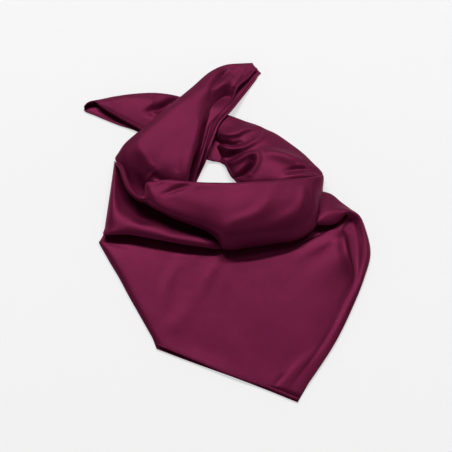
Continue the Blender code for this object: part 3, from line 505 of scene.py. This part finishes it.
def band_grid(across, along):
    """The cowl's band: up inside the neckline, over to the lip, and back under itself down to the drop."""
    rows = []
    for row in BAND_ROWS:
        neck = lifted(row.neck)
        aside = np.array((row.turn[0], row.turn[1], 0.0))
        inside = neck + aside * INSIDE_TURN - (0, 0, row.depth)
        sill = max(BAND_FOOT, neck[2] - WALL_DEPTHS * row.depth)
        wall = np.array((neck[0], neck[1] + WALL_BACK, (inside[2] + sill) / 2))
        foot = np.array((neck[0], neck[1] + FOOT_BACK, sill))
        shoulder = neck + aside - (0, 0, row.depth * SHOULDER_DEPTH)
        x, y, z = row.tuck
        under = lifted([(x, y + TUCK_BACK, z * TUCK_HEIGHT), (x, y + TUCK_END, min(z, BAND_FOOT))])
        rows.append([foot, wall, inside, shoulder, *lifted(row[2:]), *under])
    return net(rows, across, along)


def strip_grid(rows, across, along):
    """A doubled strip: its lower layer, its outer folded edge and its upper layer to the hem."""
    sections = []
    for row in rows:
        under, fold = lifted(row.under), lifted(row.fold)
        inner = under + (fold - under) * BED_IN_SHARE
        inner[2] = row.bed_in
        outer = under + (fold - under) * BED_OUT_SHARE
        outer[2] = row.bed_out
        reach = np.linalg.norm(under - fold)
        heel = fold + (under - fold) * min(HEEL_SHARE, HEEL / reach)
        heel[2] = row.bed_out
        sections.append([under, inner, outer, heel, *lifted(row[3:])])
    return raised(net(sections, across, along), FLOOR_LAYER)


def placed(name, data):
    """An object of the data, in the scene."""
    obj = bpy.data.objects.new(name, data)
    bpy.context.scene.collection.objects.link(obj)
    return obj


def mesh_object(name, points, faces, material):
    """A smooth mesh of one material, in the scene."""
    mesh = bpy.data.meshes.new(name)
    mesh.from_pydata(points, [], faces)
    mesh.shade_smooth()
    mesh.materials.append(material)
    return placed(name, mesh)


def unroll(mesh, points):
    """A UV map of the grid's mesh, in metres along the cloth."""
    count, width = points.shape[:2]
    across = np.linalg.norm(np.diff(points, axis=1), axis=-1)
    along = np.linalg.norm(np.diff(points, axis=0), axis=-1)
    u = np.concatenate([np.zeros((count, 1)), np.cumsum(across, axis=1)], axis=1)
    v = np.concatenate([np.zeros((1, width)), np.cumsum(along, axis=0)], axis=0)
    flat = np.stack([u, v], axis=-1).reshape(-1, 2)
    layer = mesh.uv_layers.new(name="cut")
    loops = np.zeros(len(mesh.loops), dtype=np.int32)
    mesh.loops.foreach_get("vertex_index", loops)
    layer.data.foreach_set("uv", flat[loops].ravel())


def shell(name, grid, material):
    """One stretch of cloth: a grid of quads with the thickness of the cloth about its middle."""
    count, width = grid.shape[:2]
    points = (grid - LAYOUT_CENTRE) * MM
    index = np.arange(count * width).reshape(count, width)
    corners = (index[:-1, :-1], index[1:, :-1], index[1:, 1:], index[:-1, 1:])
    faces = np.stack(corners, axis=-1).reshape(-1, 4)
    obj = mesh_object(name, points.reshape(-1, 3).tolist(), faces.tolist(), material)
    unroll(obj.data, points)
    thick = obj.modifiers.new("cloth", "SOLIDIFY")
    thick.thickness = CLOTH * MM
    thick.offset = 0.0
    return obj


def inset(grid, distance):
    """The line a distance in from the grid's first column, measured along the cloth."""
    return np.array([at_lengths(distance, lengths_along(row), row) for row in grid])


def hem(name, grid, material, thread):
    """A narrow hem on the grid's first column and the row of stitches that holds it."""
    flat = np.stack([inset(grid, away) for away, rise in HEM], axis=1)
    normals = upward(grid_normals(flat))
    rises = np.array([rise for away, rise in HEM])
    strip = shell(name + "_hem", flat + normals * rises[:, None], material)
    path = inset(grid, STITCH_IN)
    seam = stitches(name + "_stitches", path, normals[:, STITCHED_COLUMN], thread)
    return [strip, seam]


def stitches(name, path, normals, material):
    """Short threads along a path, each a small bar with pointed ends, as one mesh."""
    lengths = lengths_along(path)
    points = []
    faces = []
    for start in np.arange(STITCH_START, lengths[-1] - STITCH_STEP, STITCH_STEP):
        ends = [start + share * STITCH_LONG for share in (0, STITCH_TAPER, 1 - STITCH_TAPER, 1)]
        spots = at_lengths(ends, lengths, path)
        up = at_lengths(start, lengths, normals)
        up /= np.linalg.norm(up)
        side = np.cross(spots[3] - spots[0], up)
        side /= np.linalg.norm(side)
        spots += up * STITCH_UP
        ring = [side, up, -side, -up]
        tail = len(points)
        points.append(spots[0])
        points += [spots[1] + turn * STITCH_RADIUS for turn in ring]
        points += [spots[2] + turn * STITCH_RADIUS for turn in ring]
        points.append(spots[3])
        near = tail + 1
        far = near + len(ring)
        tip = far + len(ring)
        for i in range(len(ring)):
            j = (i + 1) % len(ring)
            faces.append((tail, near + j, near + i))
            faces.append((near + i, near + j, far + j, far + i))
            faces.append((tip, far + i, far + j))
    return mesh_object(name, ((np.array(points) - LAYOUT_CENTRE) * MM).tolist(), faces, material)


def principled(name, settings):
    """A material of one shader with the given settings."""
    material = bpy.data.materials.new(name)
    material.use_nodes = True
    shader = material.node_tree.nodes["Principled BSDF"]
    for key, value in settings.items():
        shader.inputs[key].default_value = value
    return material


def node(tree, kind, **inputs):
    """A new node with some of its inputs set."""
    made = tree.nodes.new(kind)
    for key, value in inputs.items():
        made.inputs[key].default_value = value
    return made


def satin():
    """Burgundy satin: a coloured gloss, a fine weave along the cloth and a colour that varies a little."""
    material = principled("burgundy satin", SATIN)
    tree = material.node_tree
    shader = tree.nodes["Principled BSDF"]
    place = tree.nodes.new("ShaderNodeTexCoord")
    cloud = node(tree, "ShaderNodeTexNoise", Scale=28.0, Detail=9.0, Roughness=0.7)
    tree.links.new(place.outputs["Object"], cloud.inputs["Vector"])
    ramp = tree.nodes.new("ShaderNodeValToRGB")
    dark, light = ramp.color_ramp.elements
    dark.position = 0.3
    dark.color = SATIN_DARK
    light.position = 0.7
    light.color = SATIN_LIGHT
    tree.links.new(cloud.outputs["Fac"], ramp.inputs["Fac"])
    tree.links.new(ramp.outputs["Color"], shader.inputs["Base Color"])
    weave = node(tree, "ShaderNodeTexWave", Scale=420.0, Distortion=1.5)
    tree.links.new(place.outputs["UV"], weave.inputs["Vector"])
    bump = node(tree, "ShaderNodeBump", Strength=0.3, Distance=0.0001)
    tree.links.new(weave.outputs["Fac"], bump.inputs["Height"])
    tree.links.new(bump.outputs["Normal"], shader.inputs["Normal"])
    return material


def build_under(cloth, thread):
    """The ply below, with the hem along its lower edge."""
    under = net(lifted(UNDER_ROWS), across=(14, 14, 14, 14), along=10)
    under_cloth = shell("under_cloth", under, cloth)
    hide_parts("drop_back")
    under_hems = hem("under", under[::-1].swapaxes(0, 1), cloth, thread)
    return [under_cloth] + under_hems


def build_drop(cloth, thread):
    """The point's upper layer with the raised rim at its right, and the hem along its lower edge."""
    drop = net(lifted(DROP_ROWS), across=(6, 14, 16, 16, 12, 6, 4, 4, 4, 6, 6), along=8)
    drop = raised(creased(drop, DROP_CREASES), SECOND_LAYER)
    drop_cloth = shell("drop_cloth", drop, cloth)
    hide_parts("drop_front", "right_gather")
    drop_hems = hem("drop", drop[::-1].swapaxes(0, 1), cloth, thread)
    return [drop_cloth] + drop_hems


def doubled_strip(name, rows, along, creases, cloth, thread):
    """A strip's cloth, creased on the side that shows, and the hems of its two layers."""
    first = sum(STRIP_STEPS[:HIDDEN_SPANS]) + 1
    strip = creased(strip_grid(rows, STRIP_STEPS, along), creases, first)
    strip[:, first:] = raised(strip[:, first:], SECOND_LAYER)
    strip_cloth = shell(name + "_cloth", strip, cloth)
    strip_hems = hem(name + "_upper", strip[:, ::-1], cloth, thread)
    strip_hems += hem(name + "_lower", strip, cloth, thread)
    return strip_cloth, strip_hems


def build_left_strip(cloth, thread):
    """The loop at the right, which passes under the crossing to the left tail."""
    strip_cloth, strip_hems = doubled_strip("left_strip", LEFT_STRIP_ROWS, 16, STRIP_CREASES, cloth, thread)
    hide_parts("right_loop", "left_tail")
    return [strip_cloth] + strip_hems


def build_right_tail(cloth, thread):
    """The hood at the left, which passes over the crossing to the right tail."""
    tail_cloth, tail_hems = doubled_strip("right_tail", RIGHT_TAIL_ROWS, 14, TAIL_CREASES, cloth, thread)
    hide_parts("right_tail")
    return [tail_cloth] + tail_hems


def build_fold(cloth):
    """The fold under the band at the left."""
    fold = creased(net(lifted(FOLD_ROWS), across=(8, 10, 6, 6, 8, 6), along=10), FOLD_CREASES)
    fold_cloth = shell("fold_cloth", fold, cloth)
    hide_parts("middle_fold")
    return [fold_cloth]


def build_cowl(cloth):
    """The neckline's band."""
    first = sum(BAND_STEPS[:HIDDEN_SPANS]) + 1
    band = creased(band_grid(BAND_STEPS, along=10), BAND_CREASES, first)
    cowl_cloth = shell("cowl_cloth", band, cloth)
    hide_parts("cowl", "under_layers")
    return [cowl_cloth]


def build_scarf():
    """Every stretch of cloth with its hems, as frame pieces."""
    cloth = satin()
    thread = principled("burgundy thread", THREAD)
    slots = (
        ("back_satin", build_under(cloth, thread)),
        ("drop_satin", build_drop(cloth, thread)),
        ("loop_satin", build_left_strip(cloth, thread)),
        ("tail_satin", build_right_tail(cloth, thread)),
        ("fold_satin", build_fold(cloth)),
        ("cowl_satin", build_cowl(cloth)),
    )
    for slot, pieces in slots:
        for piece in pieces:
            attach(piece, "root")


def build_table():
    """A white table with a low pale cove round it."""
    points = [(0.0, 0.0, 0.0)]
    for radius, height in TABLE_RINGS:
        for step in range(TABLE_SIDES):
            angle = step * math.tau / TABLE_SIDES
            points.append((radius * math.cos(angle), radius * math.sin(angle), height))
    faces = [(0, 1 + step, 1 + (step + 1) % TABLE_SIDES) for step in range(TABLE_SIDES)]
    for ring in range(len(TABLE_RINGS) - 1):
        low = 1 + ring * TABLE_SIDES
        high = low + TABLE_SIDES
        for step in range(TABLE_SIDES):
            after = (step + 1) % TABLE_SIDES
            faces.append((low + step, high + step, high + after, low + after))
    table = mesh_object("table", points, faces, principled("white table", TABLE))
    table.location.z = -TABLE_BELOW


def build_lights():
    """Even white daylight, a long soft lamp from behind and a small one from behind at the right."""
    world = bpy.data.worlds.new("studio")
    bpy.context.scene.world = world
    world.use_nodes = True
    background = world.node_tree.nodes["Background"]
    background.inputs["Color"].default_value = WHITE
    background.inputs["Strength"].default_value = DAYLIGHT
    for row in LAMPS:
        lamp = bpy.data.lights.new(row.name + " light", "AREA")
        lamp.shape = "RECTANGLE"
        lamp.size = row.length
        lamp.size_y = LAMP_WIDTH
        lamp.energy = row.power
        spot = placed(row.name + " light", lamp)
        turn, rise = math.radians(row.azimuth), math.radians(row.elevation)
        away = Vector((-math.sin(turn) * math.cos(rise), math.cos(turn) * math.cos(rise), math.sin(rise)))
        spot.location = away * LAMP_AWAY
        spot.rotation_euler = away.to_track_quat("Z", "Y").to_euler()


def build_camera():
    """The camera at EYE, aimed at the origin that the tables' points are measured from."""
    camera = placed("camera", bpy.data.cameras.new("camera"))
    camera.location = Vector((EYE - LAYOUT_CENTRE) * MM)
    aim = Vector(-LAYOUT_CENTRE * MM)
    camera.rotation_euler = (camera.location - aim).to_track_quat("Z", "Y").to_euler()
    camera.data.lens = LENS
    camera.data.sensor_width = SENSOR
    bpy.context.scene.camera = camera
    bpy.context.scene.view_settings.view_transform = "Standard"


build_scarf()
build_table()
build_lights()
build_camera()
